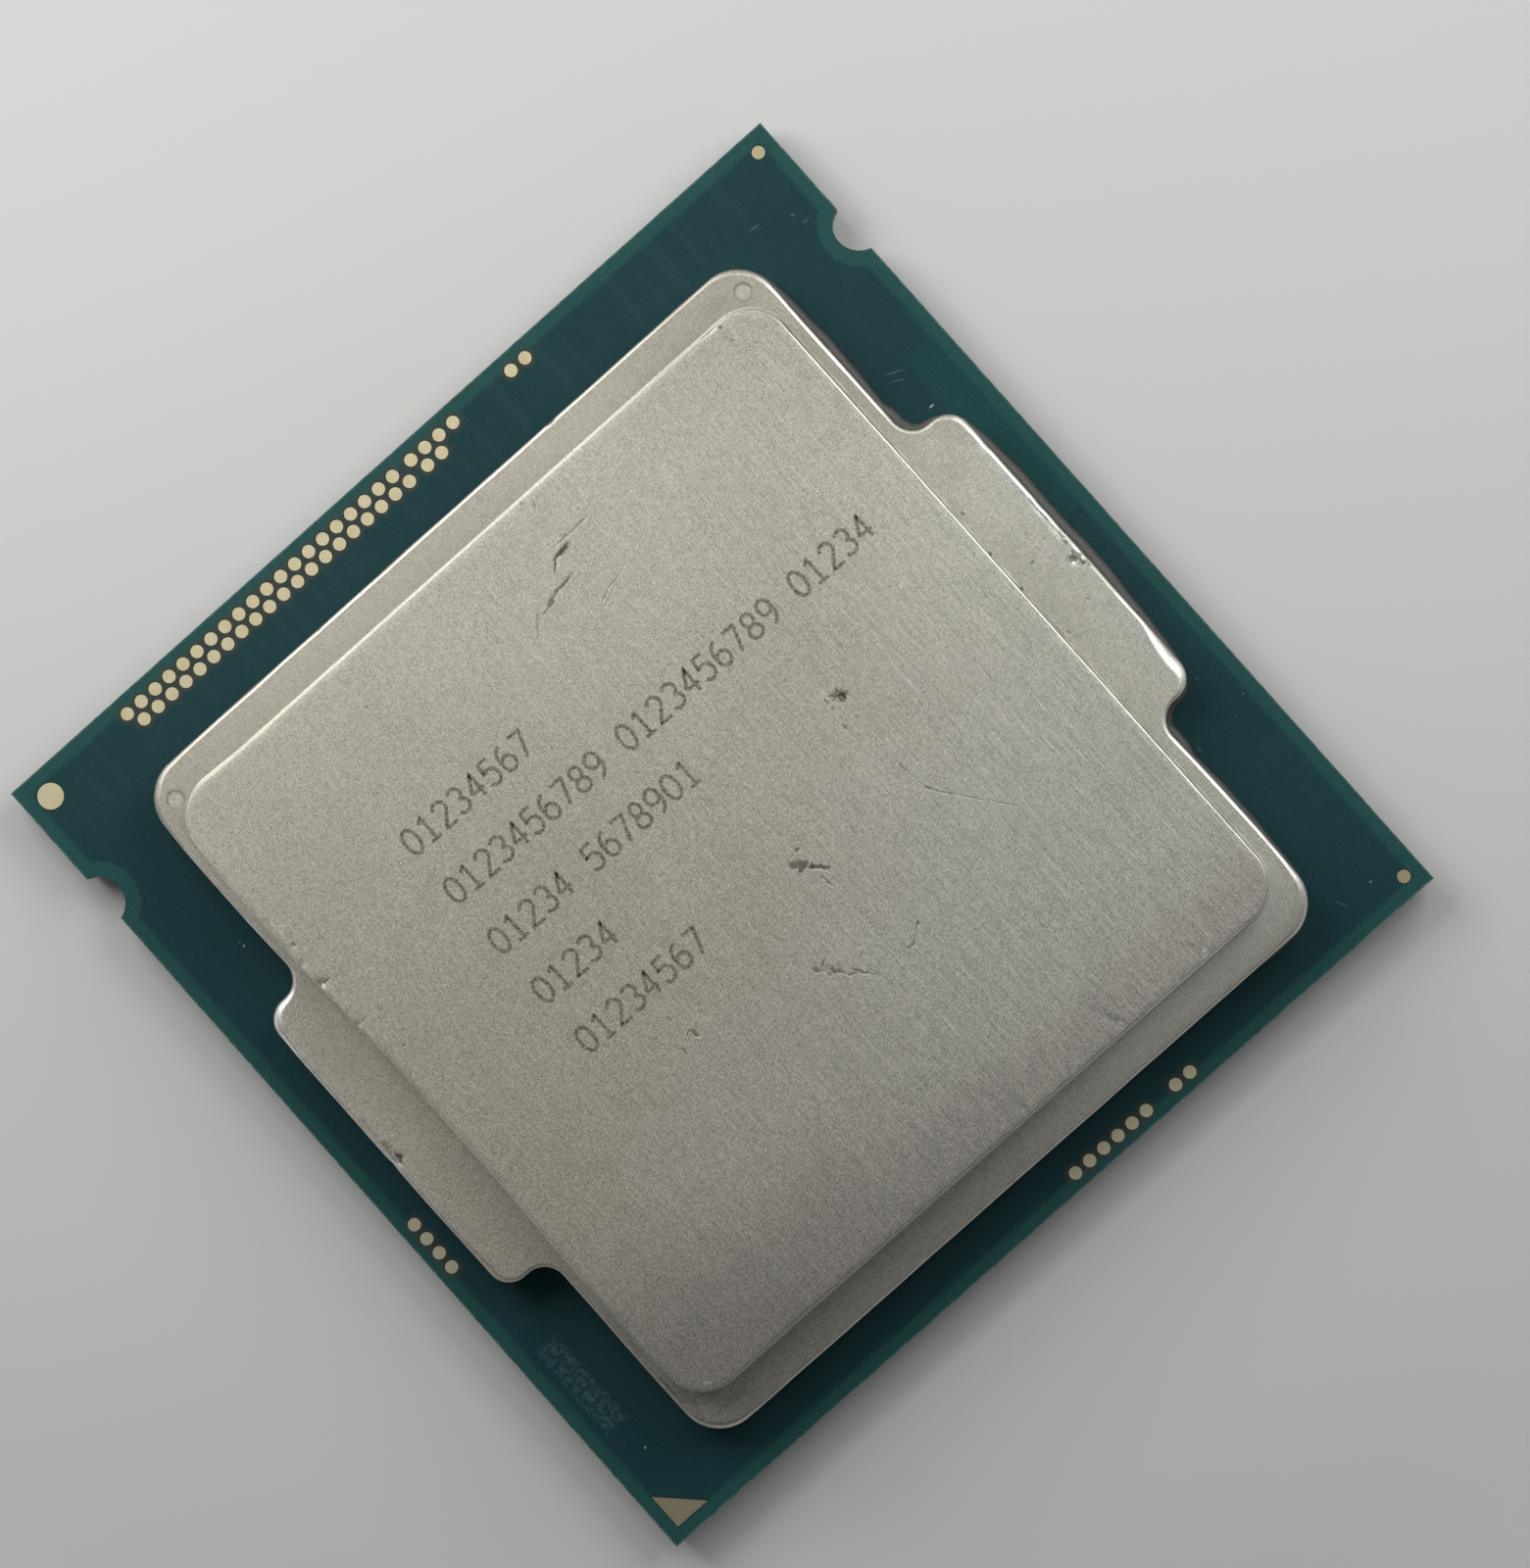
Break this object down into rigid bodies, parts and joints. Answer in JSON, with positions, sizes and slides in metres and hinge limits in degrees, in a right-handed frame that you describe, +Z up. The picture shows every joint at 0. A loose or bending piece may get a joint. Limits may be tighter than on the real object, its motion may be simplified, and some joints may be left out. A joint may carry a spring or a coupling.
{
  "type": "central processing unit",
  "caption": "Square land-grid processor: laminate board, stepped metal heat spreader with side ears over the die, gold lands and small capacitors beneath.",
  "frame": {"origin": "middle of the board, at the level of the undersides of the land-side capacitors, on which it rests", "axes": "+X across the board towards the right key notch, +Y towards the board edge with the double row of probe pads, +Z up out of the heat spreader's flat top"},
  "size_m": [0.0376, 0.0376, 0.0049],
  "materials": {
    "board": "dark teal solder mask on laminate, lighter green along the edges where no copper lies beneath",
    "lid_metal": "worn nickel plate on copper with a fine grain along Y, warm grey, scratched and pitted",
    "sealant": "cured dark grey-brown silicone",
    "silicon": "polished dark grey silicon",
    "underfill": "grey epoxy",
    "paste": "grey thermal paste",
    "gold_pad": "pale matt gold flash over nickel",
    "gold_land": "bright gold plate",
    "capacitor_ceramic": "matt brown fired ceramic",
    "tin": "dull tin plate",
    "solder": "reflowed tin solder"
  },
  "bodies": {
    "root": {"board": "board", "heat_spreader": "lid_metal", "lid_sealant": "sealant", "silicon_die": "silicon", "die_underfill": "underfill", "thermal_paste": "paste", "probe_pads_outer_row": "gold_pad", "probe_pads_inner_row": "gold_pad", "probe_pads_outer_four": "gold_pad", "probe_pads_inner_pair": "gold_pad", "probe_pads_lone_pair": "gold_pad", "left_edge_pads": "gold_pad", "front_edge_six_pads": "gold_pad", "front_edge_pair_pads": "gold_pad", "large_alignment_mark": "gold_pad", "small_alignment_marks": "gold_pad", "land_one_triangle": "gold_pad", "lands_left": "gold_land", "lands_right": "gold_land", "lands_back": "gold_land", "lands_front": "gold_land", "large_capacitor_bodies": "capacitor_ceramic", "large_capacitor_ends": "tin", "large_capacitor_solder": "solder", "small_capacitor_bodies": "capacitor_ceramic", "small_capacitor_ends": "tin", "small_capacitor_solder": "solder", "test_pads": "gold_land"}
  },
  "joints": []
}
